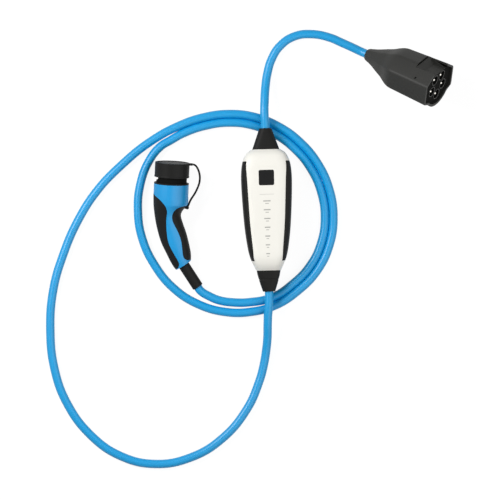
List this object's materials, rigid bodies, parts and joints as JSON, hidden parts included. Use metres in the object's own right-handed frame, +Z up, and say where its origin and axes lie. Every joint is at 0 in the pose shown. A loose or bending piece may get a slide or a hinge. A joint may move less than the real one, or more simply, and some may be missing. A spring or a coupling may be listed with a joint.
{
  "type": "portable ev charger",
  "caption": "Portable charger for electric cars: white in-cable control box with black bumpers, blue supply lead and connector, blue charging cable and pistol-grip vehicle connector",
  "frame": {"origin": "middle of the control box's back, on the surface that it lies on; the cables and what is on them aren't counted", "axes": "+Z up out of the box's front, +Y along the box towards the supply lead, +X to the right seen from the front"},
  "size_m": [0.7446, 0.783, 0.1189],
  "materials": {
    "white_housing": "satin moulded",
    "black_rubber": "matt moulded",
    "tile_gloss": "gloss",
    "clear_guide": "satin",
    "board_laminate": "satin",
    "black_plastic": "satin moulded",
    "module_case": "satin",
    "terminal_plastic": "satin",
    "screw_steel": "bright",
    "blue_plastic": "satin moulded",
    "contact_metal": "plated",
    "charcoal_plastic": "satin moulded",
    "blue_jacket": "satin extruded"
  },
  "bodies": {
    "charger": {"front_shell": "white_housing", "rear_shell": "white_housing", "housing_seal": "black_rubber", "left_bumper": "black_rubber", "right_bumper": "black_rubber", "supply_boot": "black_rubber", "vehicle_boot": "black_rubber", "touch_tile": "tile_gloss", "light_guide": "clear_guide", "circuit_board": "board_laminate", "power_relays": "black_plastic", "fault_current_sensor": "black_plastic", "power_supply_module": "module_case", "supply_terminals": "terminal_plastic", "vehicle_terminals": "terminal_plastic", "cable_clamps": "black_plastic", "housing_screws": "screw_steel", "board_screws": "screw_steel", "handle_shell": "blue_plastic", "back_grip": "black_rubber", "front_grip": "black_rubber", "nose_seal": "black_rubber", "contact_carrier": "black_plastic", "vehicle_contacts": "contact_metal", "cable_sleeve": "black_rubber", "cap_tether": "black_rubber", "plug_housing": "charcoal_plastic", "contact_insert": "black_plastic", "contact_pins": "contact_metal", "charging_cable": "blue_jacket", "supply_cable": "blue_jacket"},
    "cap": {"dust_cap": "black_rubber"}
  },
  "joints": [
    {"name": "cap_pull", "type": "slide", "parent": "charger", "child": "cap", "axis": [0.0705, 0.9905, 0.1184], "range_m": [0, 0.0235]}
  ]
}
